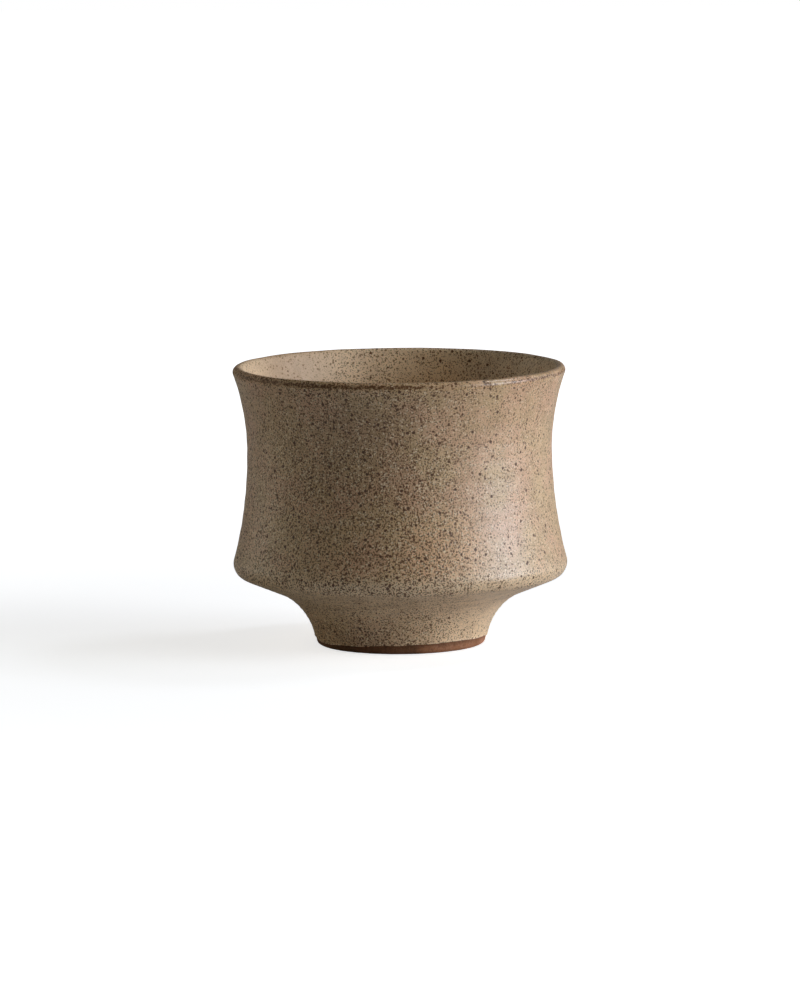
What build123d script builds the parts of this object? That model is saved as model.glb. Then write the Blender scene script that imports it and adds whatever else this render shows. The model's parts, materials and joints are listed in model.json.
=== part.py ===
from build123d import *
import math
import os

# A waisted stoneware cup on a turned foot, thrown as a bowl, luted to a foot ring and glazed.
# Millimetres, +Z up. The origin is the centre of the foot's resting plane, and Z is the axis
# that every piece was turned about. Sizes of the outside and inside are those of the finished,
# glazed cup, and the clay lies one glaze thickness below them.

# The whole cup: the waist is its narrowest place, and the lip and the belly stand out from it
cup_height = 75.7
waist_radius = 41.3
waist_height = 53.1
lip_flare = 3.7
lip_thickness = 3.0
belly_swell = 3.95
belly_round = 3.9

# The foot: its leaning flank and the sloping underside would meet in a corner at foot_height,
# and a cove that starts low on the flank runs from one to the other
foot_radius = 23.0
foot_lean = 11.4
foot_height = 11.2
underside_slope = 22.3
cove_start = 2.1
foot_edge_round = 1.3
foot_ring_width = 4.6
foot_inner_round = 0.9
foot_recess_depth = 8.0

# The inside: a dished floor, a rounded heel and a wall that follows the waist
floor_thickness = 5.0
belly_wall_thickness = 4.1
heel_round = 8.0
heel_rise = 5.0

# The joint between the bowl and the foot ring
slip_thickness = 0.4
slip_bead = 1.2

# The glaze
glaze_thickness = 0.35
bare_foot_height = 2.2
lip_coat_depth = 2.2


# A place in the half section is (distance from the axis, height), and an angle is in degrees.
def point_on(centre, radius, angle):
    turn = math.radians(angle)
    return (centre[0] + radius * math.cos(turn), centre[1] + radius * math.sin(turn))


def angle_to(start, end):
    return math.degrees(math.atan2(end[1] - start[1], end[0] - start[0])) % 360


def arc(centre, radius, first_angle, last_angle):
    middle_angle = (first_angle + last_angle) / 2
    first = point_on(centre, radius, first_angle)
    middle = point_on(centre, radius, middle_angle)
    last = point_on(centre, radius, last_angle)
    return ThreePointArc(first, middle, last)


def wall_arc_radius(waist, round_centre, round_radius):
    """Radius of the arc that stands upright at the waist and runs tangent into an outer round."""
    across = waist[0] - round_centre[0]
    up = waist[1] - round_centre[1]
    reach = round_centre[0] + round_radius - waist[0]
    return (across**2 + up**2 - round_radius**2) / (2 * reach)


def dish_radius(bottom_height, round_centre, round_radius):
    """Radius of the arc that is level at the axis and runs tangent into an inner round."""
    rise = round_centre[1] - bottom_height
    return (round_centre[0] ** 2 + rise**2 - round_radius**2) / (2 * (rise - round_radius))


def crossing(first_angle, first_reach, second_angle, second_reach):
    """The point where two lines cross, each given by its normal's angle and its distance along it."""
    a, b = math.radians(first_angle), math.radians(second_angle)
    spread = math.sin(b - a)
    across = (first_reach * math.sin(b) - second_reach * math.sin(a)) / spread
    up = (second_reach * math.cos(a) - first_reach * math.cos(b)) / spread
    return (across, up)


def reach_of(place, angle):
    turn = math.radians(angle)
    return place[0] * math.cos(turn) + place[1] * math.sin(turn)


# The foot's flank and the underside as lines, and the cove that is tangent to both
flank_normal = 360 - foot_lean
underside_normal = 270 + underside_slope
flank_reach = reach_of((foot_radius, 0), flank_normal)
foot_corner = (foot_radius + foot_height * math.tan(math.radians(foot_lean)), foot_height)
underside_reach = reach_of(foot_corner, underside_normal)
cove_turn = math.radians(flank_normal - underside_normal)
cove_leg = (foot_height - cove_start) / math.cos(math.radians(foot_lean))
cove_radius = cove_leg / math.tan(cove_turn / 2)
cove_centre = crossing(
    flank_normal, flank_reach + cove_radius, underside_normal, underside_reach + cove_radius
)

# Centres of the rounds at the lip, the belly and the heel
rim_radius = waist_radius + lip_flare
belly_radius = waist_radius + belly_swell
lip_round = lip_thickness / 2
lip_centre = (rim_radius - lip_round, cup_height - lip_round)
belly_centre = crossing(underside_normal, underside_reach - belly_round, 0, belly_radius - belly_round)
heel_centre = (belly_radius - belly_wall_thickness - heel_round, belly_centre[1] + heel_rise)

# Arcs of the wall: the outside below and above the waist, and the inside, which keeps the lip's
# thickness down to the waist and then swells towards the belly
waist = (waist_radius, waist_height)
inner_waist = (waist_radius - lip_thickness, waist_height)
skirt_radius = wall_arc_radius(waist, belly_centre, belly_round)
skirt_centre = (waist_radius + skirt_radius, waist_height)
flare_radius = wall_arc_radius(waist, lip_centre, lip_round)
flare_centre = (waist_radius + flare_radius, waist_height)
inner_skirt_radius = wall_arc_radius(inner_waist, heel_centre, heel_round)
inner_skirt_centre = (inner_waist[0] + inner_skirt_radius, waist_height)
floor_height = foot_recess_depth + floor_thickness
floor_radius = dish_radius(floor_height, heel_centre, heel_round)
floor_centre = (0, floor_height + floor_radius)
skirt_angle = angle_to(skirt_centre, belly_centre)
flare_angle = angle_to(flare_centre, lip_centre)
inner_skirt_angle = angle_to(inner_skirt_centre, heel_centre)
floor_angle = angle_to(floor_centre, heel_centre)


def outside_section(depth):
    """Half section of the cup as if it were solid, with its outside wall sunk by depth."""
    edge_centre = crossing(flank_normal, flank_reach - depth - foot_edge_round, 270, -foot_edge_round)
    edge = arc(edge_centre, foot_edge_round, 270, flank_normal)
    cove = arc(cove_centre, cove_radius + depth, flank_normal - 180, underside_normal - 180)
    belly = arc(belly_centre, belly_round - depth, underside_normal, skirt_angle + 180)
    skirt = arc(skirt_centre, skirt_radius + depth, skirt_angle, 180)
    flare = arc(flare_centre, flare_radius + depth, 180, flare_angle)
    lip = arc(lip_centre, lip_round - depth, flare_angle - 180, 90)
    flank = Line(edge @ 1, cove @ 0)
    underside = Line(cove @ 1, belly @ 0)
    middle = Polyline(lip @ 1, (0, cup_height - depth), (0, 0), edge @ 0)
    return make_face([edge, flank, cove, underside, belly, skirt, flare, lip, middle])


def drink_section(depth):
    """Half section of the space inside the cup, with its wall and floor sunk by depth."""
    lip = arc(lip_centre, lip_round - depth, 90, flare_angle)
    flare = arc(flare_centre, flare_radius + lip_thickness - depth, flare_angle, 180)
    skirt = arc(inner_skirt_centre, inner_skirt_radius - depth, 180, inner_skirt_angle)
    heel = arc(heel_centre, heel_round + depth, inner_skirt_angle - 180, floor_angle - 360)
    floor = arc(floor_centre, floor_radius + depth, floor_angle, 270)
    middle = Polyline(floor @ 1, (0, cup_height - depth), lip @ 0)
    return make_face([lip, flare, skirt, heel, floor, middle])


def band(low, high, inner=0, outer=2 * rim_radius):
    """A rectangle of the half section, between two heights and two distances from the axis."""
    return Pos((inner + outer) / 2, (low + high) / 2) * Rectangle(outer - inner, high - low)


def turned(section):
    """The solid that a half section makes when it is turned once about the axis."""
    return revolve(Plane.XZ * section, Axis.Z)


# Heights and distances that the pieces share
ring_inner_radius = foot_radius - glaze_thickness - foot_ring_width
ring_top = foot_recess_depth - slip_thickness
lip_coat_edge = cup_height - lip_coat_depth


def clay_section():
    return outside_section(glaze_thickness) - drink_section(glaze_thickness)


def make_bowl():
    """The thrown clay bowl: floor, heel, belly, waist and lip, flat below where the foot joins."""
    return turned(clay_section() & band(foot_recess_depth, cup_height))


def make_foot():
    """The clay foot ring, coved outside and upright inside, standing on its rounded edge."""
    ring = clay_section() & band(0, ring_top, ring_inner_radius)
    bottom_inner = ring.vertices().sort_by(Axis.Y)[0:2].sort_by(Axis.X)[0]
    return turned(fillet(bottom_inner, foot_inner_round))


def make_luting_slip():
    """The fired slip that joins foot and bowl, with its bead wiped round inside the ring."""
    seam = clay_section() & band(ring_top, foot_recess_depth, ring_inner_radius)
    bead_inner = ring_inner_radius - slip_bead
    bead_bottom = foot_recess_depth - slip_bead
    corner = band(bead_bottom, foot_recess_depth, bead_inner, ring_inner_radius)
    bead = corner - Pos(bead_inner, bead_bottom) * Circle(slip_bead)
    return turned(seam + bead)


def make_outer_glaze():
    """The glaze outside, from just below the lip down to the line above the bare foot edge."""
    skin = outside_section(0) - outside_section(glaze_thickness)
    return turned(skin & band(bare_foot_height, lip_coat_edge))


def make_inner_glaze():
    """The liner glaze inside, over the floor, the heel and the wall up to just below the lip."""
    skin = drink_section(glaze_thickness) - drink_section(0)
    return turned(skin & band(0, lip_coat_edge))


def make_lip_glaze():
    """The thin iron-brown coat that goes over the lip from the outside to the inside."""
    whole = outside_section(0) - drink_section(0)
    return turned((whole - clay_section()) & band(lip_coat_edge, cup_height))


pieces = {
    "bowl": make_bowl(),
    "foot": make_foot(),
    "luting_slip": make_luting_slip(),
    "outer_glaze": make_outer_glaze(),
    "inner_glaze": make_inner_glaze(),
    "lip_glaze": make_lip_glaze(),
}

os.makedirs("parts", exist_ok=True)
for name, shape in pieces.items():
    export_step(shape, f"parts/{name}.step")
    print(f"{name}: {shape.volume:.0f} cubic mm, {len(shape.solids())} solid")
print(f"cove radius {cove_radius:.2f}, belly height {belly_centre[1]:.2f}")
print(f"holds {turned(drink_section(0)).volume / 1000:.0f} ml to the brim")
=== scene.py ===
# %% [markdown]
# # A waisted stoneware cup
#
# The frame already holds the cup's plain solids: a clay bowl, a foot ring, the slip between them
# and three coats of glaze. This lesson gives the cup its looks. We turn each piece again with
# enough rings to carry a hand's unevenness, let the glaze run into a wavy line above the bare
# foot, and mix a speckled glaze and a red-brown clay out of shader nodes.

# %% Load the frame
import json
import math

import bpy
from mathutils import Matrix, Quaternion, Vector

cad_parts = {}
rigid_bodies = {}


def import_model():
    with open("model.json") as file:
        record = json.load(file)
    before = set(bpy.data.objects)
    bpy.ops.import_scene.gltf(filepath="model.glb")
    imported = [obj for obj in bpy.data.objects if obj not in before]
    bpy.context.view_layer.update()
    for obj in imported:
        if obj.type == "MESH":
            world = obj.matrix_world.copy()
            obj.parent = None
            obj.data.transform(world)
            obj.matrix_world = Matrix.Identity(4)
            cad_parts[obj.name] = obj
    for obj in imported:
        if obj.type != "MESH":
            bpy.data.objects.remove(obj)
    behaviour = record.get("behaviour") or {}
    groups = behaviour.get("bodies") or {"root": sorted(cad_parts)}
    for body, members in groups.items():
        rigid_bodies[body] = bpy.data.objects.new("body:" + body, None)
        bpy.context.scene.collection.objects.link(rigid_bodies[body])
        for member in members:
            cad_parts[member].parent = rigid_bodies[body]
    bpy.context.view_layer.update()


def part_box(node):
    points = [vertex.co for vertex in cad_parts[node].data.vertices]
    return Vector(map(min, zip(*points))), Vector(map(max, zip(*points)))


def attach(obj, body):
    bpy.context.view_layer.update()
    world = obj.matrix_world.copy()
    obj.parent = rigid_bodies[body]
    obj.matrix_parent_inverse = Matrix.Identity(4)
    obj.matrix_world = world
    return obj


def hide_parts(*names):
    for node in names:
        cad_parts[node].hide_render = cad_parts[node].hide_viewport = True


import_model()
bpy.ops.object.select_all(action="DESELECT")
mm = 0.001


def in_mm(lengths):
    return [round(length / mm, 2) for length in lengths]


# %% [markdown]
# ## The outline
#
# A thrown cup is one outline, turned about its axis. Ours is a chain of arcs and short straight
# stretches, each tangent to the next, because a potter's rib leaves no corners. Heights where
# pieces meet are read from the frame. The sizes of the curves are named here. A place in the
# outline is (distance from the axis, height), and its angles are in degrees.

# %% Heights from the frame
cup_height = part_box("lip_glaze")[1].z
lip_coat_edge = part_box("lip_glaze")[0].z
bare_foot_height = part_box("outer_glaze")[0].z
seam_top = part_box("bowl")[0].z
seam_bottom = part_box("foot")[1].z
glaze_thickness = cup_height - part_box("bowl")[1].z
print("lip line, seam and bare foot, in mm:", in_mm((lip_coat_edge, seam_top, bare_foot_height)))

# %% Sizes of the curves
waist_radius = 41.3 * mm
waist_height = 53.1 * mm
lip_flare = 3.7 * mm
lip_thickness = 3.0 * mm
belly_swell = 3.95 * mm
belly_round = 3.9 * mm
foot_radius = 23.0 * mm
foot_lean = 11.4
foot_height = 11.2 * mm
underside_slope = 22.3
cove_start = 2.1 * mm
foot_edge_round = 1.3 * mm
foot_ring_width = 4.6 * mm
foot_inner_round = 0.9 * mm
floor_thickness = 5.0 * mm
belly_wall_thickness = 4.1 * mm
heel_round = 8.0 * mm
heel_rise = 5.0 * mm
slip_bead = 1.2 * mm


# %% Helpers for arcs and tangents
def point_on(centre, radius, angle):
    turn = math.radians(angle)
    return (centre[0] + radius * math.cos(turn), centre[1] + radius * math.sin(turn))


def angle_to(start, end):
    return math.degrees(math.atan2(end[1] - start[1], end[0] - start[0])) % 360


def arc(centre, radius, first_angle, last_angle, spacing):
    """Points along an arc, evenly spaced, with both its ends."""
    sweep = last_angle - first_angle
    count = max(2, math.ceil(radius * abs(math.radians(sweep)) / spacing))
    return [point_on(centre, radius, first_angle + sweep * i / count) for i in range(count + 1)]


def straight(start, end, spacing):
    """Points along a straight line, evenly spaced, with both its ends."""
    count = max(2, math.ceil(math.dist(start, end) / spacing))
    steps = [i / count for i in range(count + 1)]
    return [(start[0] + (end[0] - start[0]) * t, start[1] + (end[1] - start[1]) * t) for t in steps]


def reach_of(place, angle):
    turn = math.radians(angle)
    return place[0] * math.cos(turn) + place[1] * math.sin(turn)


def crossing(first_angle, first_reach, second_angle, second_reach):
    """Where two lines cross, each given by its normal's angle and its distance along it."""
    a, b = math.radians(first_angle), math.radians(second_angle)
    across = (first_reach * math.sin(b) - second_reach * math.sin(a)) / math.sin(b - a)
    up = (second_reach * math.cos(a) - first_reach * math.cos(b)) / math.sin(b - a)
    return (across, up)


def wall_arc_radius(waist, round_centre, round_radius):
    """The arc that stands upright at the waist and runs tangent into an outer round."""
    across, up = waist[0] - round_centre[0], waist[1] - round_centre[1]
    reach = round_centre[0] + round_radius - waist[0]
    return (across**2 + up**2 - round_radius**2) / (2 * reach)


# %% The cove, and the centres of the rounds
flank_normal = 360 - foot_lean
underside_normal = 270 + underside_slope
foot_corner = (foot_radius + foot_height * math.tan(math.radians(foot_lean)), foot_height)
flank_reach = reach_of((foot_radius, 0), flank_normal)
underside_reach = reach_of(foot_corner, underside_normal)
cove_leg = (foot_height - cove_start) / math.cos(math.radians(foot_lean))
cove_radius = cove_leg / math.tan(math.radians(flank_normal - underside_normal) / 2)
cove_centre = crossing(
    flank_normal, flank_reach + cove_radius, underside_normal, underside_reach + cove_radius
)
rim_radius = waist_radius + lip_flare
belly_radius = waist_radius + belly_swell
lip_round = lip_thickness / 2
lip_centre = (rim_radius - lip_round, cup_height - lip_round)
belly_centre = crossing(
    underside_normal, underside_reach - belly_round, 0, belly_radius - belly_round
)
heel_centre = (belly_radius - belly_wall_thickness - heel_round, belly_centre[1] + heel_rise)
print("rim, belly and cove radius, in mm:", in_mm((rim_radius, belly_radius, cove_radius)))

# %% Arcs of the wall and the floor
waist = (waist_radius, waist_height)
inner_waist = (waist_radius - lip_thickness, waist_height)
skirt_radius = wall_arc_radius(waist, belly_centre, belly_round)
skirt_centre = (waist_radius + skirt_radius, waist_height)
flare_radius = wall_arc_radius(waist, lip_centre, lip_round)
flare_centre = (waist_radius + flare_radius, waist_height)
inner_skirt_radius = wall_arc_radius(inner_waist, heel_centre, heel_round)
inner_skirt_centre = (inner_waist[0] + inner_skirt_radius, waist_height)
floor_height = seam_top + floor_thickness
heel_above_floor = heel_centre[1] - floor_height
floor_radius = (heel_centre[0] ** 2 + heel_above_floor**2 - heel_round**2) / (
    2 * (heel_above_floor - heel_round)
)
floor_centre = (0, floor_height + floor_radius)
skirt_angle = angle_to(skirt_centre, belly_centre)
flare_angle = angle_to(flare_centre, lip_centre)
inner_skirt_angle = angle_to(inner_skirt_centre, heel_centre)
floor_angle = angle_to(floor_centre, heel_centre)
print("skirt, flare and floor radius, in mm:", in_mm((skirt_radius, flare_radius, floor_radius)))

# %% [markdown]
# ## Marks of the wheel
#
# A wall that was thrown and then trimmed isn't perfectly smooth: the fingers leave low rings
# inside, and the trimming tool leaves fine ones under the belly. We add them to the outline
# itself, before it is turned, as a ripple whose pitch wanders a little. They are a few
# hundredths of a millimetre deep outside, so they only show where light rakes over them.

# %% A ripple along a stretch of outline
trimming_lines = {"depth": 0.05 * mm, "pitch": 1.7 * mm}
throwing_rings_outside = {"depth": 0.03 * mm, "pitch": 5.3 * mm}
throwing_rings_inside = {"depth": 0.09 * mm, "pitch": 6.1 * mm}
wander_reach = 1.05
wander_length = 3.7


def rippled(points, depth, pitch):
    """The same stretch, waved in and out. The wave fades to nothing at both its ends."""
    lengths = [0]
    for a, b in zip(points, points[1:]):
        lengths.append(lengths[-1] + math.dist(a, b))
    waved = [points[0]]
    for i in range(1, len(points) - 1):
        (r0, z0), (r, z), (r1, z1) = points[i - 1:i + 2]
        size = math.hypot(r1 - r0, z1 - z0)
        phase = 2 * math.pi * lengths[i] / pitch
        wave = math.sin(phase + wander_reach * math.sin(phase / wander_length))
        wave *= depth * math.sin(math.pi * lengths[i] / lengths[-1]) ** 0.5
        waved.append((r + (z1 - z0) / size * wave, z - (r1 - r0) / size * wave))
    return waved + [points[-1]]


# %% The three stretches of the outline
def outside(sunk, start_angle, spacing, marked=False):
    """From low on the cove, up over the belly and the waist, to the lip's outer side."""
    cove = arc(cove_centre, cove_radius + sunk, start_angle, underside_normal - 180, spacing)
    belly = arc(belly_centre, belly_round - sunk, underside_normal, skirt_angle + 180, spacing / 2)
    skirt = arc(skirt_centre, skirt_radius + sunk, skirt_angle, 180, spacing)
    flare = arc(flare_centre, flare_radius + sunk, 180, flare_angle, spacing)
    low = cove + straight(cove[-1], belly[0], spacing)[1:]
    wall = belly[:-1] + skirt + flare[1:]
    if marked:
        low, wall = rippled(low, **trimming_lines), rippled(wall, **throwing_rings_outside)
    return low + wall[1:]


def inside(sunk, spacing, marked=False):
    """From the lip's inner side, down the wall and round the heel, to the floor's middle."""
    flare = arc(flare_centre, flare_radius + lip_thickness - sunk, flare_angle, 180, spacing)
    skirt = arc(inner_skirt_centre, inner_skirt_radius - sunk, 180, inner_skirt_angle, spacing)
    heel = arc(heel_centre, heel_round + sunk, inner_skirt_angle - 180, floor_angle - 360, spacing)
    floor = arc(floor_centre, floor_radius + sunk, floor_angle, 270, spacing)
    wall = flare + skirt[1:] + heel[1:-1] + floor
    return rippled(wall, **throwing_rings_inside) if marked else wall


def over_the_lip(sunk, spacing):
    return arc(lip_centre, lip_round - sunk, flare_angle - 180, flare_angle, spacing)


# %% [markdown]
# ## Turning a section
#
# In edit mode a turned form starts as one vertex. It is extruded from point to point until the
# section is drawn. A spin could turn it, but a spin of many steps is slow, so a Screw modifier with
# no rise does the same and is applied. Doubles are merged where the turn meets itself and at the
# poles, and then the normals are pointed outwards.

# %% Draw a section and turn it
turning_steps = 480
merge_distance = 0.001 * mm


def draw_section(name, points, closed):
    """An object whose mesh is the section: one vertex, extruded from point to point."""
    bpy.ops.mesh.primitive_plane_add(size=mm, location=(points[0][0], 0, points[0][1]))
    piece = bpy.context.object
    piece.name = piece.data.name = name
    bpy.ops.object.transform_apply(location=True, rotation=True, scale=True)
    bpy.ops.object.mode_set(mode="EDIT")
    bpy.ops.mesh.select_mode(type="VERT")
    bpy.ops.mesh.select_all(action="SELECT")
    bpy.ops.mesh.merge(type="CENTER")
    ends = points[1:] + points[:1] if closed else points[1:]
    for start, end in zip(points, ends):
        step = (end[0] - start[0], 0, end[1] - start[1])
        bpy.ops.mesh.extrude_region_move(TRANSFORM_OT_translate={"value": step})
    bpy.ops.mesh.select_all(action="SELECT")
    bpy.ops.mesh.remove_doubles(threshold=merge_distance)
    bpy.ops.object.mode_set(mode="OBJECT")
    return piece


def turn_section(piece):
    """Turn the drawn section once about the upright axis and close it up."""
    turn = piece.modifiers.new("turn", "SCREW")
    turn.axis = "Z"
    turn.steps = turn.render_steps = turning_steps
    turn.use_merge_vertices = True
    turn.merge_threshold = merge_distance
    bpy.ops.object.modifier_apply(modifier=turn.name)
    bpy.ops.object.mode_set(mode="EDIT")
    bpy.ops.mesh.select_all(action="SELECT")
    bpy.ops.mesh.remove_doubles(threshold=merge_distance)
    bpy.ops.mesh.normals_make_consistent(inside=False)
    bpy.ops.object.mode_set(mode="OBJECT")
    triangles = sum(len(face.vertices) - 2 for face in piece.data.polygons)
    print(piece.name, "has", triangles, "triangles")


# %% [markdown]
# ## The coat of glaze
#
# On the real cup the glaze is one coat: the cup is dipped, held by its foot, and the coat covers
# all but the foot's lowest edge. So we turn it as one closed skin, a third of a millimetre thick,
# whose lower end is rounded the way melted glaze ends. Only its outer side is made fine. The side
# that lies on the clay is hidden and needs few rings.

# %% Places on the cove, and the side where glaze and clay meet
skin_spacing = 0.8 * mm
lip_spacing = 0.3 * mm
hidden_spacing = 2.5 * mm


def cove_angle(height, sunk):
    """Where a height lies on the cove's arc."""
    return 180 - math.degrees(math.asin((height - cove_centre[1]) / (cove_radius + sunk)))


def clay_side(start_angle):
    """From low on the cove, up outside, over the lip and down to the floor's middle."""
    side = outside(glaze_thickness, start_angle, hidden_spacing)
    side += over_the_lip(glaze_thickness, lip_spacing * 2)[1:]
    return side + inside(glaze_thickness, hidden_spacing)[1:]


# %% Turn the whole coat
coat_start_height = bare_foot_height + glaze_thickness / 2
coat_start_angle = cove_angle(coat_start_height, sunk=0)
coat_end_centre = point_on(cove_centre, cove_radius + glaze_thickness / 2, coat_start_angle)
skin = inside(0, skin_spacing, marked=True)[::-1]
skin += over_the_lip(0, lip_spacing)[::-1][1:]
skin += outside(0, coat_start_angle, skin_spacing, marked=True)[::-1][1:]
rounded_end = arc(coat_end_centre, glaze_thickness / 2, coat_start_angle - 180,
                  coat_start_angle - 360, glaze_thickness / 4)
coat_section = skin + rounded_end[1:-1] + clay_side(coat_start_angle)
coat = draw_section("glaze_coat", coat_section, closed=False)
coat.vertex_groups.new(name="skin").add(range(len(skin)), 1.0, "REPLACE")
turn_section(coat)

# %% [markdown]
# ## A hand's unevenness
#
# Molten glaze evens itself out, but never quite. Broad soft waves, about as wide as a thumb, come
# from dipping, and a finer orange peel comes from the melt. Each is a noise texture that a
# Displace modifier presses into the skin along its normals. The whole coat is waved before it is
# cut up, so that the pieces still meet exactly where they part.

# %% Press a soft noise into a piece
unpressed_level = 0.8


def choose(piece):
    """Make this the active piece, and the only one that is selected."""
    bpy.ops.object.select_all(action="DESELECT")
    piece.select_set(True)
    bpy.context.view_layer.objects.active = piece


def press_noise(piece, name, size, depth, group=""):
    """The noise presses inwards from the drawn outline, so the cup keeps its size."""
    noise = bpy.data.textures.new(name, "CLOUDS")
    noise.noise_scale = size
    noise.noise_depth = 1
    press = piece.modifiers.new(name, "DISPLACE")
    press.texture = noise
    press.texture_coords = "LOCAL"
    press.strength = depth
    press.mid_level = unpressed_level
    press.vertex_group = group
    choose(piece)
    bpy.ops.object.modifier_apply(modifier=name)
    print(name, "pressed into", piece.name)


press_noise(coat, "dipping_waves", 14 * mm, 0.20 * mm, "skin")
press_noise(coat, "orange_peel", 3.2 * mm, 0.045 * mm, "skin")

# %% [markdown]
# ## Three coats from one
#
# Where the coat goes over the lip it runs thin and turns brown, so the lip's coat is a piece of
# its own, and so is the liner inside. A level bisect cuts the skin at the lip line and the faces
# above are separated. Then all that is still linked to the middle of the floor is the liner.
# Every cut rim is closed again by a bridge between its two edges.


# %% Pick by place, and separate
def pick_vertices(piece, wanted):
    """Select only the vertices for which wanted(place) is true, and stay in edit mode."""
    choose(piece)
    bpy.ops.object.mode_set(mode="EDIT")
    bpy.ops.mesh.select_mode(type="VERT")
    bpy.ops.mesh.select_all(action="DESELECT")
    bpy.ops.object.mode_set(mode="OBJECT")
    for vertex in piece.data.vertices:
        vertex.select = wanted(vertex.co)
    bpy.ops.object.mode_set(mode="EDIT")


def separate_selected(piece, name):
    """Make an object of its own of the selected faces, and leave edit mode."""
    bpy.ops.mesh.separate(type="SELECTED")
    bpy.ops.object.mode_set(mode="OBJECT")
    part = next(other for other in bpy.context.selected_objects if other != piece)
    part.name = part.data.name = name
    return part


# %% Cut the coat at the lip line
choose(coat)
bpy.ops.object.mode_set(mode="EDIT")
bpy.ops.mesh.select_all(action="SELECT")
bpy.ops.mesh.bisect(plane_co=(0, 0, lip_coat_edge), plane_no=(0, 0, 1))
bpy.ops.object.mode_set(mode="OBJECT")
pick_vertices(coat, lambda place: place.z > lip_coat_edge - merge_distance)
glaze_on_lip = separate_selected(coat, "glaze_on_lip")
pick_vertices(coat, lambda place: math.hypot(place.x, place.y) < merge_distance)
bpy.ops.mesh.select_linked()
glaze_inside = separate_selected(coat, "glaze_inside")
glaze_outside = coat
glaze_outside.name = glaze_outside.data.name = "glaze_outside"
for piece in (glaze_outside, glaze_inside, glaze_on_lip):
    print(piece.name, "has", len(piece.data.polygons), "faces")


# %% Bridge the cut rims
def bridge_rim(piece, low_radius, high_radius):
    """Close the gap between the two open edges that lie between two distances from the axis."""
    pick_vertices(piece, lambda place: abs(place.z - lip_coat_edge) < merge_distance
                  and low_radius < math.hypot(place.x, place.y) < high_radius)
    bpy.ops.mesh.select_mode(type="EDGE")
    bpy.ops.mesh.bridge_edge_loops()
    bpy.ops.mesh.select_all(action="SELECT")
    bpy.ops.mesh.normals_make_consistent(inside=False)
    bpy.ops.object.mode_set(mode="OBJECT")


wall_middle = lip_centre[0]
beyond_rim = 2 * rim_radius
bridge_rim(glaze_outside, wall_middle, beyond_rim)
bridge_rim(glaze_inside, 0, wall_middle)
bridge_rim(glaze_on_lip, wall_middle, beyond_rim)
bridge_rim(glaze_on_lip, 0, wall_middle)

# %% [markdown]
# ## The wavy glaze line
#
# The bare band at the foot isn't level: the glaze stops higher at the front right and lower at the
# left. A proportional move pulls the coat's end up or down along the leaning foot, and fades with
# the distance from the place that was picked, as a wet sponge wipes it. Each pull is the angle
# round the foot, seen from above, and how far the line goes up.

# %% Pull the glaze line
pull_reach = 7 * mm
pull_width = 4
glaze_line_pulls = {
    -150: -0.75 * mm, -125: -0.35 * mm, -96: 0.25 * mm, -72: 0.50 * mm, -48: 0.70 * mm,
    -22: 0.45 * mm, 6: -0.30 * mm, 40: -0.20 * mm, 72: 0.35 * mm, 105: 0.25 * mm,
    138: -0.40 * mm, 176: 0.15 * mm,
}


def pull_glaze_line(angle, rise):
    turn, lean = math.radians(angle), math.radians(foot_lean)

    def near_pull(place):
        off = math.degrees(math.atan2(place.y, place.x)) - angle
        return place.z <= coat_start_height and abs((off + 180) % 360 - 180) < pull_width

    pick_vertices(glaze_outside, near_pull)
    along = (math.sin(lean) * math.cos(turn), math.sin(lean) * math.sin(turn), math.cos(lean))
    bpy.ops.transform.translate(
        value=[rise * part for part in along], use_proportional_edit=True,
        proportional_edit_falloff="SMOOTH", proportional_size=pull_reach,
        use_proportional_connected=True,
    )
    bpy.ops.object.mode_set(mode="OBJECT")


out_of_reach = coat_start_height + 1.5 * pull_reach
pick_vertices(glaze_outside, lambda place: place.z > out_of_reach)
bpy.ops.mesh.hide(unselected=False)
bpy.ops.object.mode_set(mode="OBJECT")
for angle, rise in glaze_line_pulls.items():
    pull_glaze_line(angle, rise)
bpy.ops.object.mode_set(mode="EDIT")
bpy.ops.mesh.reveal(select=False)
bpy.ops.object.mode_set(mode="OBJECT")
print("glaze line pulled at", len(glaze_line_pulls), "places")

# %% [markdown]
# ## The clay under the glaze
#
# The bowl was thrown, trimmed flat below, and luted to a foot ring with slip. The glaze hides
# nearly all of it. Underneath, inside the ring, the bare base shows the rings that the trimming
# tool left, with a small nub in their middle, and the slip shows as a bead wiped into the corner.

# %% Turn the clay bowl
base_nub_radius = 2.4 * mm
base_nub_height = 0.45 * mm
base_rings = {"depth": 0.07 * mm, "pitch": 1.5 * mm}
ring_inner_radius = foot_radius - glaze_thickness - foot_ring_width
bead_inner_radius = ring_inner_radius - slip_bead
clay_spacing = 0.4 * mm


def with_nub(place):
    share = min(1, place[0] / base_nub_radius)
    return (place[0], place[1] - base_nub_height * (1 + math.cos(math.pi * share)) / 2)


shown_base = straight((0, seam_top), (bead_inner_radius, seam_top), clay_spacing)
shown_base = [with_nub(place) for place in rippled(shown_base, **base_rings)]
bowl_section = shown_base + clay_side(cove_angle(seam_top, glaze_thickness))
clay_bowl = draw_section("clay_bowl", bowl_section, closed=False)
turn_section(clay_bowl)

# %% [markdown]
# The foot ring stands on the table, so its lower edges are rounded over with a wet finger. Its
# outer side leans out a little upwards and runs into the cove under the glaze.

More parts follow.
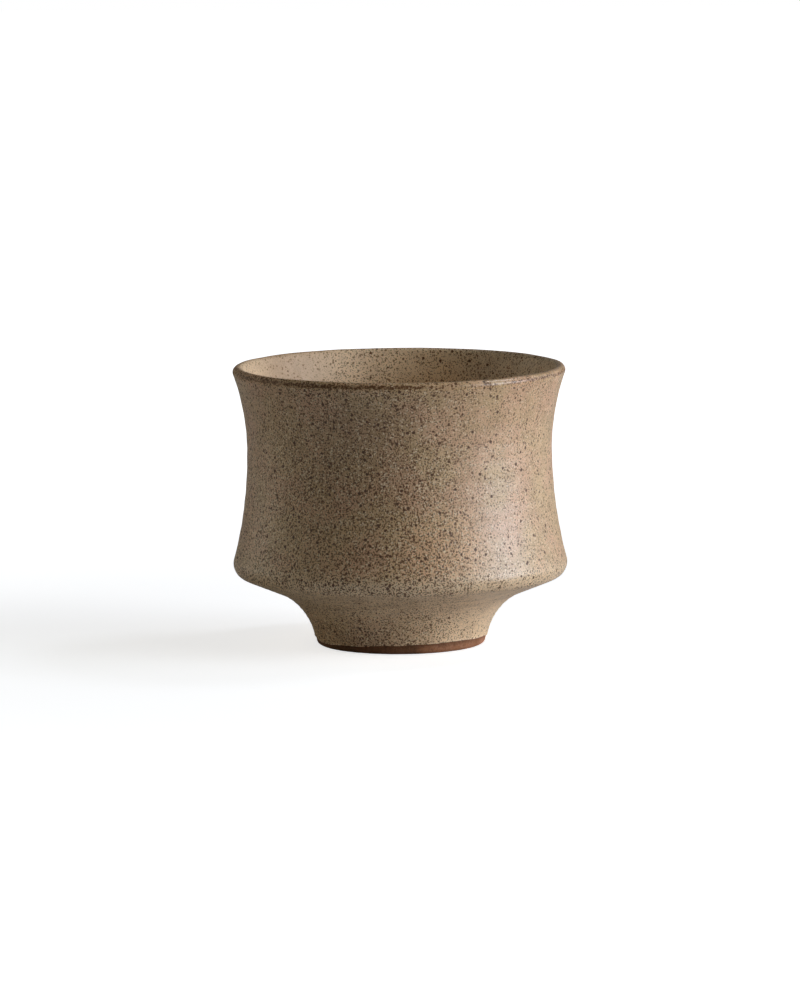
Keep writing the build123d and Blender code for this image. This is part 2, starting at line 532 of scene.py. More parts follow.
# %% Turn the foot ring
recess_rings = {"depth": 0.05 * mm, "pitch": 1.3 * mm}
foot_edge_centre = crossing(
    flank_normal, flank_reach - glaze_thickness - foot_edge_round, 270, -foot_edge_round
)
inner_round_centre = (ring_inner_radius + foot_inner_round, foot_inner_round)
inner_wall = straight((ring_inner_radius, seam_bottom), (ring_inner_radius, foot_inner_round),
                      clay_spacing)
inner_edge = arc(inner_round_centre, foot_inner_round, 180, 270, clay_spacing / 2)
outer_edge = arc(foot_edge_centre, foot_edge_round, 270, flank_normal, clay_spacing / 2)
ring_cove = arc(cove_centre, cove_radius + glaze_thickness, flank_normal - 180,
                cove_angle(seam_bottom, glaze_thickness), clay_spacing)
ring_flank = straight(outer_edge[-1], ring_cove[0], clay_spacing)
foot_section = rippled(inner_wall, **recess_rings) + inner_edge[1:]
foot_section += straight(inner_edge[-1], outer_edge[0], clay_spacing)[1:-1] + outer_edge
foot_section += ring_flank[1:-1] + ring_cove
foot_section += straight(ring_cove[-1], inner_wall[0], hidden_spacing)[1:-1]
clay_foot_ring = draw_section("clay_foot_ring", foot_section, closed=True)
turn_section(clay_foot_ring)
press_noise(clay_foot_ring, "clay_drag", 2.2 * mm, 0.05 * mm)

# %% Turn the slip seam with its bead
bead_centre = (bead_inner_radius, seam_top - slip_bead)
bead = arc(bead_centre, slip_bead, 90, 0, clay_spacing / 2)
seam_cove = arc(cove_centre, cove_radius + glaze_thickness,
                cove_angle(seam_bottom, glaze_thickness), cove_angle(seam_top, glaze_thickness),
                clay_spacing / 2)
slip_section = bead + straight(bead[-1], (ring_inner_radius, seam_bottom), clay_spacing)[1:]
slip_section += straight(slip_section[-1], seam_cove[0], hidden_spacing)[1:-1] + seam_cove
slip_section += straight(seam_cove[-1], bead[0], hidden_spacing)[1:-1]
slip_seam = draw_section("slip_seam", slip_section, closed=True)
turn_section(slip_seam)

# %% Smooth shading, with the sharp edges kept
sharp_angle = 40
cup_pieces = [glaze_outside, glaze_inside, glaze_on_lip, clay_bowl, clay_foot_ring, slip_seam]
for piece in cup_pieces:
    choose(piece)
    bpy.ops.object.shade_smooth_by_angle(angle=math.radians(sharp_angle))
print(len(cup_pieces), "pieces are smooth but for edges over", sharp_angle, "degrees")

# %% [markdown]
# ## Materials from nodes
#
# All the finishes are mixed from the same few effects: iron specks, a sandy grain and the faint
# lines that turning leaves. Each effect is a node group, built once, with its own named inputs.
# Everything is placed by Object coordinates, which are metres here, so a speck has a real size.


# %% Helpers for nodes and sums
def add_node(tree, kind, **settings):
    node = tree.nodes.new(kind)
    for name, value in settings.items():
        setattr(node, name, value)
    return node


def is_socket(value):
    return isinstance(value, bpy.types.NodeSocket)


def feed(socket, value):
    """Link another socket into this one, or set it to a plain value. A socket knows its tree."""
    if is_socket(value):
        socket.id_data.links.new(value, socket)
    else:
        socket.default_value = value


def add_sum(kind, operation, values, **settings):
    """A maths node in the tree of the first value that is a socket. Returns its outputs."""
    tree = next(value for value in values if is_socket(value)).id_data
    node = add_node(tree, kind, operation=operation, **settings)
    for socket, value in zip(node.inputs, values):
        feed(socket, value)
    return node.outputs


def calculate(operation, *values, clamp=False):
    return add_sum("ShaderNodeMath", operation, values, use_clamp=clamp)["Value"]


def calculate_vector(operation, *values):
    return add_sum("ShaderNodeVectorMath", operation, values)["Vector"]


def product(first, *others):
    for value in others:
        first = calculate("MULTIPLY", first, value)
    return first


def total(base, *terms):
    """A base, and each mask times its own amount, added up."""
    for mask, amount in terms:
        base = calculate("MULTIPLY_ADD", mask, amount, base)
    return base


def centred(value):
    """A value that lies round one half, moved to lie round nought."""
    return calculate("SUBTRACT", value, 0.5)


def all_but(mask):
    return calculate("SUBTRACT", 1.0, mask)


# %% Helpers for fades, colours and noise
def fade(value, start, end, low=0.0, high=1.0):
    """Go softly from low to high while the value goes from start to end."""
    node = add_node(value.id_data, "ShaderNodeMapRange", interpolation_type="SMOOTHSTEP")
    for name, number in (("Value", value), ("From Min", start), ("From Max", end),
                         ("To Min", low), ("To Max", high)):
        feed(node.inputs[name], number)
    return node.outputs["Result"]


def within(value, outer_low, low, high, outer_high):
    """1 where the value is between low and high, and a soft way down to 0 on both sides."""
    return product(fade(value, outer_low, low), fade(value, outer_high, high))


def between(share, first, last):
    """The first value where share is 0, the last where it is 1, and an even mix between them."""
    return total(first, (share, calculate("SUBTRACT", last, first)))


def blend(amount, first, second):
    node = add_node(amount.id_data, "ShaderNodeMix", data_type="RGBA")
    for name, value in (("Factor", amount), ("A", first), ("B", second)):
        feed(node.inputs[name], value)
    return node.outputs["Result"]


def noise(vector, size_mm, detail=2.0, output="Fac"):
    """Noise whose blobs are about size_mm wide."""
    node = add_node(vector.id_data, "ShaderNodeTexNoise")
    feed(node.inputs["Vector"], vector)
    feed(node.inputs["Detail"], detail)
    scale = calculate("DIVIDE", 1 / mm, size_mm) if is_socket(size_mm) else 1 / mm / size_mm
    feed(node.inputs["Scale"], scale)
    return node.outputs[output]


def wandering(value, place, size_mm, reach):
    """The value, moved up and down by a noise, by half its reach at most."""
    return total(value, (centred(noise(place, size_mm)), reach))


# %% Helpers for groups
def start_group(name, inputs, outputs):
    """A new node group. Each socket has a name, and either a kind or a number to start from."""
    tree = bpy.data.node_groups.new(name, "ShaderNodeTree")
    for side, sockets in (("INPUT", inputs), ("OUTPUT", outputs)):
        for label, value in sockets.items():
            kind = value if isinstance(value, str) else "Float"
            socket = tree.interface.new_socket(label, in_out=side, socket_type="NodeSocket" + kind)
            if value != kind:
                socket.default_value = value
    entry = tree.nodes.new("NodeGroupInput")
    leave = tree.nodes.new("NodeGroupOutput")
    print("group", name, "turns", ", ".join(inputs), "into", ", ".join(outputs))
    return tree, entry.outputs, leave.inputs


def use_group(group, vector, **values):
    """Place a group at a vector and give its inputs, with _ for the spaces in their names."""
    node = add_node(vector.id_data, "ShaderNodeGroup", node_tree=group)
    feed(node.inputs["Vector"], vector)
    for name, value in values.items():
        feed(node.inputs[name.replace("_", " ")], value)
    return node.outputs


# %% [markdown]
# ### Iron specks
#
# Grains of iron in the clay and the glaze melt into dark spots. A Voronoi texture scatters one
# point in each cell of space, and a spot is what lies nearer to the point than its radius. Each
# cell draws its own size, and some draw none at all. The coordinates are wobbled first, so that
# no spot is a clean disc. Because the cells fill space, the wall cuts each ball at its own depth,
# and the sizes come out as mixed as in sieved sand.

# %% Group: specks
specks, given, result = start_group(
    "specks",
    {"Vector": "Vector", "Spacing": 2.0, "Radius": 0.4, "Amount": 0.5, "Softness": 0.5,
     "Wobble": 0.3},
    {"Mask": "Float"},
)
wobble_size = 0.7
smallest_share = 0.45
place = given["Vector"]
shift = noise(place, wobble_size, output="Color")
shift = calculate_vector("SUBTRACT", shift, (0.5, 0.5, 0.5))
wobble = product(given["Wobble"], mm)
cells = add_node(specks, "ShaderNodeTexVoronoi", feature="F1")
feed(cells.inputs["Vector"], calculate_vector("MULTIPLY_ADD", shift, wobble, place))
feed(cells.inputs["Scale"], calculate("DIVIDE", 1 / mm, given["Spacing"]))
drawn = add_node(specks, "ShaderNodeSeparateColor")
feed(drawn.inputs["Color"], cells.outputs["Color"])
distance = product(cells.outputs["Distance"], given["Spacing"])
own_share = total(smallest_share, (drawn.outputs["Green"], 1 - smallest_share))
radius = product(given["Radius"], own_share)
solid_part = product(radius, all_but(given["Softness"]))
spot = fade(distance, solid_part, radius, 1.0, 0.0)
present = calculate("LESS_THAN", drawn.outputs["Red"], given["Amount"])
feed(result["Mask"], product(spot, present))

# %% [markdown]
# ### Sandy grain
#
# Between the specks the surface is as fine as sandpaper. One noise gives the sand itself and a
# second, broader one makes it stronger here and weaker there.

# %% Group: grain
grain, given, result = start_group("grain", {"Vector": "Vector", "Size": 0.5}, {"Value": "Float"})
weak_sand, strong_sand = 2.4, 3.6
sand = noise(given["Vector"], given["Size"], detail=1.5)
patches = noise(given["Vector"], 5.0, detail=1.0)
swing = product(centred(sand), fade(patches, 0.3, 0.7, weak_sand, strong_sand))
feed(result["Value"], calculate("ADD", swing, 0.5, clamp=True))

# %% [markdown]
# ### Turning lines
#
# A tool held against the turning clay draws lines round it. Noise that is squashed along Z by a
# factor of dozens gives such lines, unbroken for a way and then fading.

# %% Group: turning lines
turning_lines, given, result = start_group(
    "turning_lines", {"Vector": "Vector", "Pitch": 0.8}, {"Value": "Float"}
)
line_squash = (0.03, 0.03, 1.0)
squashed = calculate_vector("MULTIPLY", given["Vector"], line_squash)
feed(result["Value"], noise(squashed, given["Pitch"]))

# %% [markdown]
# ### The sandy glaze
#
# The outer coat, the liner and the lip are one recipe with other amounts. The ground colour
# drifts between a pinkish and a greenish beige, as it does where the kiln's air varied. On it lie
# pale grains of sand, fine specks of iron, larger ones with a blacker heart, and a few long marks
# where a grain was dragged. Where the grain is weak, its pale grains are fewer and fainter. The
# relief is a broader swell of its own, with a small pit at each speck. Smooth says how far the
# specks and the grain are wiped away.

# %% Group: sandy glaze, its ground and grain
sandy_glaze, given, result = start_group(
    "sandy_glaze",
    {"Vector": "Vector", "Pink Ground": "Color", "Green Ground": "Color", "Pale Grain": "Color",
     "Iron": "Color", "Grain Strength": 1.0, "Fine Specks": 0.6, "Large Specks": 0.4,
     "Long Marks": 0.3, "Smooth": 0.0, "Roughness": 0.5},
    {"Color": "Color", "Roughness": "Float", "Height": "Float"},
)
cloud_iron = 0.16
pale_crowding = 0.62
place = given["Vector"]
iron = given["Iron"]
drift = fade(noise(place, 11.0), 0.35, 0.65)
cloud = fade(noise(place, 4.0), 0.35, 0.7, 0.0, cloud_iron)
ground = blend(drift, given["Pink Ground"], given["Green Ground"])
rough_part = all_but(given["Smooth"])
strength = product(given["Grain Strength"], rough_part)
grain_part = calculate("MULTIPLY", given["Grain Strength"], rough_part, clamp=True)
sand = use_group(grain, place, Size=0.4)["Value"]
sand_swing = product(centred(sand), strength)
pale = use_group(specks, place, Spacing=0.62, Radius=0.40,
                 Amount=product(grain_part, pale_crowding), Softness=0.4)["Mask"]
sanded = blend(product(pale, grain_part), blend(cloud, ground, iron), given["Pale Grain"])
sanded = blend(fade(sand_swing, 0.0, -0.4), sanded, iron)


# %% Its specks
def scattered(amount, place, **speck):
    """Specks of one kind, fewer where the glaze was wiped."""
    left = product(given[amount], rough_part)
    return use_group(specks, place, Amount=left, **speck)["Mask"]


small_speck_share = 0.85
heart_brown = (0.060, 0.020, 0.004, 1)
heart_share = 0.4
drag_direction = (0.35, 0.5, 0.2)
drag_stretch = (1.0, 1.0, 0.32)
dragged = add_node(sandy_glaze, "ShaderNodeMapping")
for name, value in (("Vector", place), ("Rotation", drag_direction), ("Scale", drag_stretch)):
    feed(dragged.inputs[name], value)
fine = scattered("Fine Specks", place, Spacing=0.8, Radius=0.38, Softness=0.3)
large = scattered("Large Specks", place, Spacing=1.6, Radius=0.53, Softness=0.25, Wobble=0.4)
long_marks = scattered("Long Marks", dragged.outputs["Vector"], Spacing=4.2, Radius=0.42,
                       Softness=0.5, Wobble=0.5)
small = product(calculate("MAXIMUM", fine, long_marks), small_speck_share)
dark = calculate("MAXIMUM", large, small)
heart = product(fade(large, 0.5, 1.0), heart_share)
feed(result["Color"], blend(heart, blend(dark, sanded, iron), heart_brown))

# %% Its roughness and relief
speck_roughness = 0.2
pit_depth = 0.12
uneven = calculate("SUBTRACT", dark, sand_swing)
swell = product(noise(place, 0.75, detail=1.5), strength)
feed(result["Roughness"], total(given["Roughness"], (uneven, speck_roughness)))
feed(result["Height"], total(swell, (dark, -pit_depth)))

# %% [markdown]
# ### From groups to materials
#
# A material adds the shader. Its height goes through a Bump node whose distance is a real one: a
# height of one stands that far above a height of nought.


# %% Start and finish a material
def start_material(name, relief, gloss=0.5):
    """A material whose nodes are its shader, a bump and the place on the piece."""
    material = bpy.data.materials.new(name)
    material.use_nodes = True
    tree = material.node_tree
    shader = tree.nodes["Principled BSDF"].inputs
    shader["Specular IOR Level"].default_value = gloss
    bump = add_node(tree, "ShaderNodeBump")
    bump.inputs["Distance"].default_value = relief
    feed(shader["Normal"], bump.outputs["Normal"])
    return material, add_node(tree, "ShaderNodeTexCoord").outputs["Object"]


def finish_material(material, colour, roughness, height):
    tree = material.node_tree
    shader = tree.nodes["Principled BSDF"].inputs
    feed(shader["Base Color"], colour)
    feed(shader["Roughness"], roughness)
    feed(tree.nodes["Bump"].inputs["Height"], height)
    print(material.name, "is mixed from", len(tree.nodes), "nodes")


def place_on_cup(place):
    """Distance to the right and to the front, height, and distance from the axis, all in mm."""
    parts = add_node(place.id_data, "ShaderNodeSeparateXYZ")
    feed(parts.inputs["Vector"], place)
    x, y, z = parts.outputs
    out = calculate("SQRT", calculate("ADD", product(x, x), product(y, y)))
    return [calculate("DIVIDE", length, unit)
            for length, unit in ((x, mm), (y, -mm), (z, mm), (out, mm))]


# %% Colours and gloss of the glaze
pink_beige = (0.81, 0.50, 0.295, 1)
green_beige = (0.755, 0.51, 0.275, 1)
# A paler, warmer ground for a patch of painted light.
painted_light_beige = (0.95, 0.59, 0.33, 1)
grey_beige = (0.96, 0.70, 0.44, 1)
liner_beige = (0.68, 0.465, 0.28, 1)
# A darker liner ground: painted shade on one side of the inner wall.
liner_painted_shade = (0.76, 0.60, 0.42, 1)
pale_grain = (0.95, 0.74, 0.50, 1)
iron_brown = (0.150, 0.060, 0.012, 1)
# A soft brown that the upper wall turns towards, also used for painted shade.
brown_and_painted_shade_tone = (0.26, 0.125, 0.045, 1)
liner_iron = (0.34, 0.175, 0.075, 1)
liner_dark_iron = (0.185, 0.080, 0.022, 1)
# The brown of the lip's stain, which also carries painted shade at one end.
stain_and_shade_brown = (0.27, 0.125, 0.050, 1)
satin = 0.42
glaze_gloss = 0.85
liner_satin = 0.5
liner_gloss = 0.5

# %% [markdown]
# ### Outside
#
# The specks crowd together low on the belly and just under the lip, where the glaze ran thin, and
# one side of the wall is quieter than the rest. The sloping underside was wiped by the sponge as
# the cup turned: it has fewer specks, and faint lines. There and along the belly's edge the ground
# is paler and greyer. High on the wall it is a little browner, and a broad patch on the shaded side
# is darkened further, as painted shade. Low on the wall towards the lit side, a paler, warmer patch
# is painted light, and low on the cove on the shaded side the ground is darkened as painted shade.
# The cove is paler on one side too.

# %% Places outside
speckled_glaze, place = start_material("speckled_glaze", relief=0.13 * mm, gloss=glaze_gloss)
right, _, up, _ = place_on_cup(place)
up = wandering(up, place, 5.0, 4.0)
below_belly = fade(up, 19.0, 17.6)
wall_above = all_but(below_belly)
wiped = product(below_belly, fade(up, 10.0, 12.5))
belly_edge = product(fade(up, 26.0, 21.0), wall_above)
under_lip = fade(up, 69.5, 73.5)
upper_wall = fade(up, 50.0, 64.0)
left_edge = fade(right, -28.0, -40.0)
quiet_side = fade(right, 6.0, 24.0)
loud_side = all_but(quiet_side)
low_belly = product(fade(up, 40.0, 24.0), wall_above, loud_side)
upper_shade = product(upper_wall, loud_side)
cove_side = product(below_belly, fade(right, 4.0, 14.0), fade(up, 12.5, 10.0))
# Painted shade: low on the cove, on the shaded side, the ground is darkened.
painted_shade_low_cove = product(fade(right, 4.0, -6.0), fade(up, 9.0, 4.0))
# Painted shade: a broad patch on the shaded side of the wall is darkened towards brown.
painted_shade_patch = product(within(right, -32.0, -14.0, -4.0, 8.0), within(up, 30.0, 50.0, 66.0, 72.0))
# Painted light: low on the wall towards the lit side, the ground is paler and warmer.
painted_light_patch = product(within(right, -4.0, 6.0, 18.0, 28.0),
                     fade(up, 46.0, 32.0), wall_above, 0.85)

# %% Speckled glaze outside
greyer = total(0.0, (below_belly, 0.5), (wiped, 0.45), (cove_side, 0.45), (belly_edge, 0.85))
# The upper wall turns a little browner, and the two patches add painted shade.
browner_and_painted_shade = total(0.0, (upper_wall, 0.08), (painted_shade_patch, 0.22), (painted_shade_low_cove, 0.22))
pink_ground, green_ground = [
    blend(browner_and_painted_shade, blend(greyer, blend(painted_light_patch, beige, painted_light_beige), grey_beige), brown_and_painted_shade_tone)
    for beige in (pink_beige, green_beige)
]
glaze = use_group(
    sandy_glaze, place, Iron=iron_brown, Pale_Grain=pale_grain,
    Pink_Ground=pink_ground, Green_Ground=green_ground,
    Grain_Strength=total(1.1, (quiet_side, -0.5), (belly_edge, 0.15), (below_belly, -0.1),
                         (left_edge, -0.3), (upper_shade, -0.2)),
    Fine_Specks=total(0.62, (low_belly, 0.2), (under_lip, 0.3), (quiet_side, -0.3),
                      (below_belly, -0.1), (wiped, -0.15)),
    Large_Specks=total(0.72, (low_belly, 0.2), (under_lip, 0.1), (quiet_side, -0.35),
                       (below_belly, -0.5)),
    Long_Marks=0.25, Smooth=product(wiped, 0.05), Roughness=satin,
)
line_iron = 1.3
lines = centred(use_group(turning_lines, place, Pitch=0.8)["Value"])
lines = product(lines, total(0.1, (wiped, 1.0)))
line_tint = product(calculate("ABSOLUTE", lines), line_iron)
finish_material(speckled_glaze, blend(line_tint, glaze["Color"], iron_brown),
                glaze["Roughness"], calculate("ADD", glaze["Height"], lines))

# %% [markdown]
# ### Inside
#
# The liner lay thicker and came out duller, and its specks are further apart. On one side of the
# cup its ground is warm and its specks stay soft and pale. From the middle on, the ground is
# greyer and paler, partly as painted light, and the specks are darker. Towards the other side the
# ground darkens again, as painted shade.


# %% The liner's recipe, shared with the inner side of the lip
def liner_recipe(right):
    """How far the liner is on its greyer side, its ground colour, and its iron and amounts."""
    grey_side = fade(right, -26.0, -8.0)
    # Painted shade: the grey ground darkens towards one side. The paler grey in the middle is
    # partly painted light.
    grey_and_painted_shade_ground = blend(fade(right, 8.0, 26.0), grey_beige, liner_painted_shade)
    warm_ground = blend(fade(right, -33.0, -41.0), liner_beige, grey_beige)
    ground = blend(fade(right, -30.0, -14.0), warm_ground, grey_and_painted_shade_ground)
    return grey_side, ground, {
        "Iron": blend(grey_side, liner_iron, liner_dark_iron),
        "Grain_Strength": total(0.45, (grey_side, 0.25)),
        "Fine_Specks": total(0.45, (grey_side, 0.2)),
        "Large_Specks": total(0.12, (grey_side, 0.16)),
    }


# %% Liner glaze inside
liner_glaze, place = start_material("liner_glaze", relief=0.10 * mm, gloss=liner_gloss)
right, _, _, _ = place_on_cup(place)
grey_side, ground, recipe = liner_recipe(right)
glaze = use_group(
    sandy_glaze, place, Pink_Ground=ground, Green_Ground=ground,
    Pale_Grain=blend(grey_side, green_beige, pale_grain),
    Long_Marks=0.15, Smooth=0.1, Roughness=liner_satin, **recipe,
)
finish_material(liner_glaze, glaze["Color"], glaze["Roughness"], glaze["Height"])

# %% [markdown]
# ### Over the lip
#
# On the lip's outer round the glaze is thinnest and the iron in the clay stains it: a brown line
# less than a millimetre wide, made of specks that run together and thin out at its edges. It is
# strong over one half of the lip and faint over the other, where the lip is glossier instead. At
# the far end of the strong half, on the front, the whole lip is faintly browned, partly as a stain
# and partly as painted shade. The lip's inner side wears the liner's recipe, so no edge shows
# where the two coats meet.

# %% The stain on the lip
iron_lip, place = start_material("iron_lip", relief=0.10 * mm, gloss=liner_gloss)
right, front, up, out = place_on_cup(place)
on_line = product(within(wandering(up, place, 0.9, 1.0), 73.9, 74.25, 74.8, 75.1),
                  fade(out, 43.4, 44.0))
# Painted shade, partly a stain: the front of the lip at the far end of the strong half is browned.
stain_and_painted_shade_end = product(fade(right, -12.0, -26.0, 0.0, 0.2), fade(front, -2.0, 10.0))
strong_half = product(fade(right, 18.0, 4.0, 0.35, 1.0), fade(right, -44.0, -40.0, 0.4, 1.0))
strong_half = calculate("MAXIMUM", strong_half, fade(right, 29.0, 35.0, 0.4, 0.55))
patchy = fade(noise(place, 7.0), 0.3, 0.6, 0.7, 1.0)
lip_stain_and_shade = product(calculate("MAXIMUM", on_line, stain_and_painted_shade_end), strong_half, patchy)
melted = use_group(specks, place, Spacing=0.6, Radius=0.62, Amount=lip_stain_and_shade, Softness=0.4)["Mask"]

# %% Iron-brown lip
over_top = fade(out, 42.6, 43.8)
grey_side, ground, recipe = liner_recipe(right)
glaze = use_group(
    sandy_glaze, place,
    Pink_Ground=blend(over_top, ground, pink_beige),
    Green_Ground=blend(over_top, ground, green_beige),
    Pale_Grain=blend(calculate("MAXIMUM", over_top, grey_side), green_beige, pale_grain),
    Iron=blend(over_top, recipe["Iron"], iron_brown),
    Grain_Strength=between(over_top, recipe["Grain_Strength"], fade(right, 0.0, 14.0, 0.9, 0.6)),
    Fine_Specks=between(over_top, recipe["Fine_Specks"], fade(right, 4.0, 20.0, 0.8, 0.5)),
    Large_Specks=between(over_top, recipe["Large_Specks"], 0.3),
    Long_Marks=0.1, Smooth=0.0,
    Roughness=between(over_top, liner_satin, fade(right, 0.0, 14.0, 0.45, 0.22)),
)
browned = blend(product(lip_stain_and_shade, 0.6), glaze["Color"], stain_and_shade_brown)
finish_material(iron_lip, blend(melted, browned, iron_brown),
                total(glaze["Roughness"], (lip_stain_and_shade, 0.15)),
                total(glaze["Height"], (melted, -0.2)))

# %% [markdown]
# ### Bare clay and slip
#
# The clay is a red-brown stoneware, sandy and quite matte. Fine sand and a few grains of fired
# clay lie in it, dark and pale. The bare edge of the foot is lighter on one side, as painted
# light, and darker on the other side, as painted shade. Just under the glaze the fire left it
# darker. The slip is the same clay with its sand sieved out, so it is smoother and redder.

# %% Group: fired clay
fired_clay, given, result = start_group(
    "fired_clay",
    {"Vector": "Vector", "Clay": "Color", "Dark Clay": "Color", "Sand": 1.0, "Lines": 0.5},
    {"Color": "Color", "Roughness": "Float", "Height": "Float"},
)
pale_sand = (0.42, 0.26, 0.18, 1)
dark_sand = (0.05, 0.022, 0.015, 1)
fired_grain = (0.30, 0.19, 0.13, 1)
matte = 0.82
place = given["Vector"]
mottle = fade(noise(place, 6.0, detail=3.0), 0.3, 0.7)
body = blend(mottle, given["Clay"], given["Dark Clay"])
sand = use_group(grain, place, Size=0.5)["Value"]
sand_swing = product(centred(sand), given["Sand"])
sanded = blend(fade(sand_swing, 0.0, 0.5, 0.0, 0.35), body, pale_sand)
sanded = blend(fade(sand_swing, 0.0, -0.5, 0.0, 0.6), sanded, dark_sand)
grains = use_group(specks, place, Spacing=2.2, Radius=0.4,
                   Amount=product(given["Sand"], 0.35), Softness=0.4)["Mask"]
lines = centred(use_group(turning_lines, place, Pitch=0.6)["Value"])
feed(result["Color"], blend(product(grains, 0.5), sanded, fired_grain))
feed(result["Roughness"], total(matte, (sand_swing, -0.1)))
feed(result["Height"], total(sand_swing, (grains, 0.4), (lines, given["Lines"])))

# %% Bare clay
# A lighter clay for painted light on one side of the foot.
painted_light_clay = (0.50, 0.225, 0.120, 1)
red_clay = (0.32, 0.132, 0.052, 1)
dark_clay = (0.20, 0.083, 0.028, 1)
# A near-black clay for the darker band under the glaze and for painted shade.
flashed_and_shaded_clay = (0.080, 0.032, 0.010, 1)
bare_clay, place = start_material("bare_clay", relief=0.08 * mm)
right, _, up, out = place_on_cup(place)
# Painted light: the clay is lighter on one side of the foot.
painted_light_side = fade(right, 3.0, 18.0)
clay = use_group(fired_clay, place, Clay=blend(painted_light_side, red_clay, painted_light_clay),
                 Dark_Clay=blend(painted_light_side, dark_clay, red_clay), Sand=0.5, Lines=0.5)
flash_edge = fade(wandering(up, place, 3.0, 1.2), 1.2, 2.6, 0.0, 0.5)
# Painted shade: the bare edge darkens towards the other side of the foot.
painted_shade_side = fade(right, 12.0, -14.0, 0.0, 0.5)
flash_and_painted_shade = product(calculate("MAXIMUM", flash_edge, painted_shade_side), fade(out, 21.0, 22.0))
finish_material(bare_clay, blend(flash_and_painted_shade, clay["Color"], flashed_and_shaded_clay),
                clay["Roughness"], clay["Height"])

# %% Fired slip
slip_red = (0.27, 0.112, 0.046, 1)
slip_brown = (0.19, 0.080, 0.030, 1)
fired_slip, place = start_material("fired_slip", relief=0.05 * mm)
slip = use_group(fired_clay, place, Clay=slip_red, Dark_Clay=slip_brown, Sand=0.3, Lines=0.3)
finish_material(fired_slip, slip["Color"], slip["Roughness"], slip["Height"])

# %% Each piece rides on the cup's one body, stands for its solid and wears its finish
stands_for = (
    (glaze_outside, "outer_glaze", "speckled_glaze", speckled_glaze),
    (glaze_inside, "inner_glaze", "liner_glaze", liner_glaze),
    (glaze_on_lip, "lip_glaze", "iron_lip", iron_lip),
    (clay_bowl, "bowl", "bare_clay", bare_clay),
    (clay_foot_ring, "foot", "bare_clay", bare_clay),
    (slip_seam, "luting_slip", "fired_slip", fired_slip),
)
for piece, node, slot, finish in stands_for:
    piece.data.materials.clear()
    piece.data.materials.append(finish)
    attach(piece, "root")
    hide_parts(node)
    print(piece.name, "stands for", node, "and wears", slot)

# %% [markdown]
# ## Floor, light and camera
#
# The cup stands on a white floor that has no end: it glows just enough for the camera that all of
# it turns white but the cup's own shadow, and further out it glows fully. The glow only shows to
# the camera and through glass, so it puts no more light on the cup and no haze on its glaze.


# %% Floor
def seen_or_through(rays):
    """1 for a ray from the camera, also one that went through glass, and 0 for any other."""
    return calculate("ADD", rays["Is Camera Ray"], rays["Is Transmission Ray"], clamp=True)


floor_size = 6.0
floor_paint = (0.8, 0.8, 0.8, 1)
shadow_reach = (0.10, 0.45)
floor_glow = (0.72, 1.0)
bpy.ops.mesh.primitive_plane_add(size=floor_size, location=(0, 0, 0))
floor = bpy.context.object
floor.name = "floor"

white_floor = bpy.data.materials.new("white_floor")
white_floor.use_nodes = True
floor.data.materials.append(white_floor)
tree = white_floor.node_tree
tree.nodes.clear()
away = add_node(tree, "ShaderNodeVectorMath", operation="LENGTH")
feed(away.inputs[0], add_node(tree, "ShaderNodeTexCoord").outputs["Object"])
shown = seen_or_through(add_node(tree, "ShaderNodeLightPath").outputs)
glow = add_node(tree, "ShaderNodeEmission")
strength = fade(away.outputs["Value"], *shadow_reach, *floor_glow)
feed(glow.inputs["Strength"], product(shown, strength))
paint = add_node(tree, "ShaderNodeBsdfDiffuse")
paint.inputs["Color"].default_value = floor_paint
both = add_node(tree, "ShaderNodeAddShader")
feed(both.inputs[0], paint.outputs["BSDF"])
feed(both.inputs[1], glow.outputs["Emission"])
output = add_node(tree, "ShaderNodeOutputMaterial")
feed(output.inputs["Surface"], both.outputs["Shader"])
print("the floor is", floor_size, "m wide")

# %% [markdown]
# Cool daylight from a window on the right gives the shading. The window is built from parts: a
# bright one low at the side, weaker ones above it and in front, and a faint one further back. A
# small patch of sky behind the cup gives the lip its glint. Two warm bounces on the left, one
# higher and one behind, fill the shade, which stays deep.

# %% Lamps
lamp_distance = 1.4
lamp_height = 0.04
daylight = (0.93, 1, 1.13)
front_daylight = (0.95, 1, 0.95)
warm_bounce = (1.03, 1, 0.83)


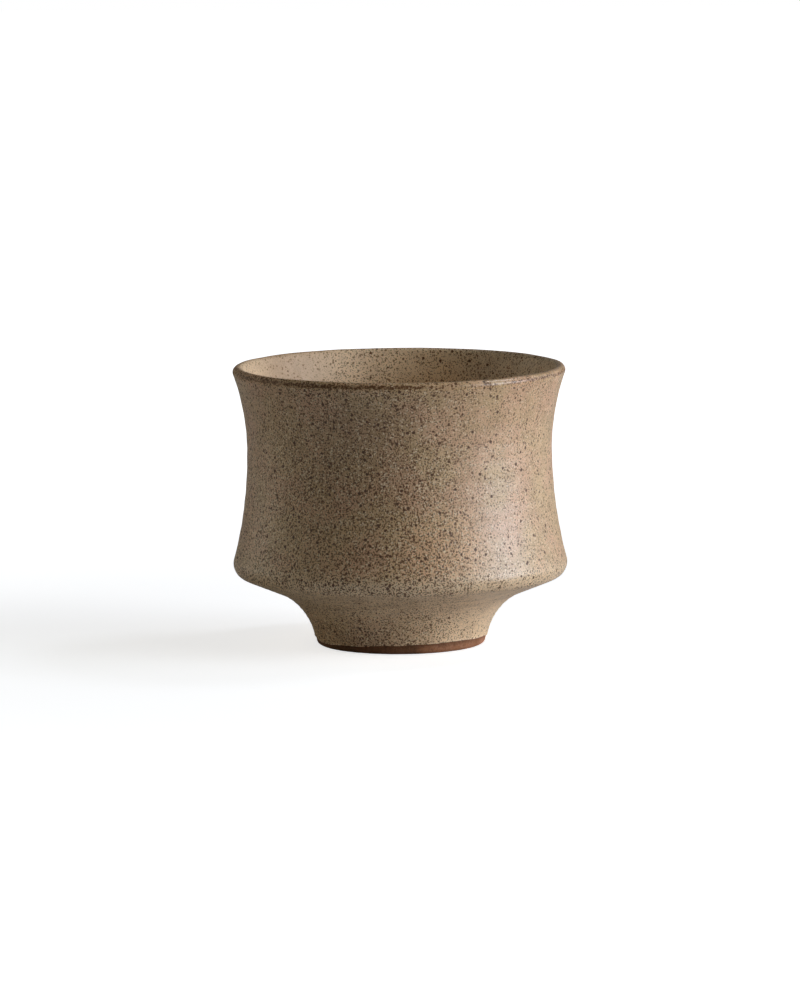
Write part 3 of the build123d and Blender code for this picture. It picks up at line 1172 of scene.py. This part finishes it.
def soft_lamp(name, azimuth, elevation, power, colour, size=0.9):
    """A square area lamp that faces the cup. Azimuth 0 is the camera's side and 90 is the right."""
    turn, rise = math.radians(azimuth), math.radians(elevation)
    bpy.ops.object.light_add(type="AREA", location=(
        lamp_distance * math.sin(turn) * math.cos(rise),
        -lamp_distance * math.cos(turn) * math.cos(rise),
        lamp_height + lamp_distance * math.sin(rise),
    ))
    lamp = bpy.context.object
    lamp.name = name
    lamp.data.size = size
    lamp.data.energy = power
    lamp.data.color = colour
    lamp.rotation_euler = (math.pi / 2 - rise, 0, turn)
    print(name, "gives", power, "W")


soft_lamp("window", azimuth=80, elevation=5, power=13.0, colour=daylight)
soft_lamp("window_upper_part", azimuth=80, elevation=25, power=2.8, colour=daylight)
soft_lamp("window_front_part", azimuth=60, elevation=25, power=3.5, colour=front_daylight)
soft_lamp("window_further_back", azimuth=120, elevation=15, power=1.8, colour=daylight)
soft_lamp("skylight", azimuth=117, elevation=52, power=2.0, colour=daylight, size=0.3)
soft_lamp("fill_left", azimuth=-80, elevation=35, power=1.3, colour=warm_bounce)
soft_lamp("fill_behind_left", azimuth=-115, elevation=10, power=2.25, colour=warm_bounce)

# %% [markdown]
# The room around is white for the camera. A glaze that mirrored all of that white would look hazy,
# so reflections see a small share of it, and it throws no light on the cup.

# %% World
mirror_share = 0.1
world = bpy.data.worlds.new("white_room")
bpy.context.scene.world = world
world.use_nodes = True
tree = world.node_tree
rays = add_node(tree, "ShaderNodeLightPath").outputs
mirrored = product(rays["Is Glossy Ray"], mirror_share)
room = tree.nodes["Background"].inputs
room["Color"].default_value = (1, 1, 1, 1)
feed(room["Strength"], calculate("MAXIMUM", seen_or_through(rays), mirrored))
print("reflections see", mirror_share, "of the room's white")

# %% [markdown]
# The camera stands well back with a long lens, so the cup's sides hardly run together. It looks
# down just enough to show the inside of the far wall, and it is tilted by half a degree.

# %% Camera
camera_distance = 1.833
camera_elevation = 7.43
camera_roll = -0.448
camera_lens = 243.9
camera_target = Vector((0, 0, 0.0389))
rise = math.radians(camera_elevation)
stand = camera_target + camera_distance * Vector((0, -math.cos(rise), math.sin(rise)))
bpy.ops.object.camera_add(location=stand)
camera = bpy.context.object
camera.data.lens = camera_lens
camera.rotation_mode = "QUATERNION"
aim = (camera_target - camera.location).to_track_quat("-Z", "Y")
camera.rotation_quaternion = aim @ Quaternion((0, 0, 1), math.radians(camera_roll))
bpy.context.scene.camera = camera
bpy.context.scene.view_settings.view_transform = "Standard"
print("the camera looks down by", camera_elevation, "degrees")
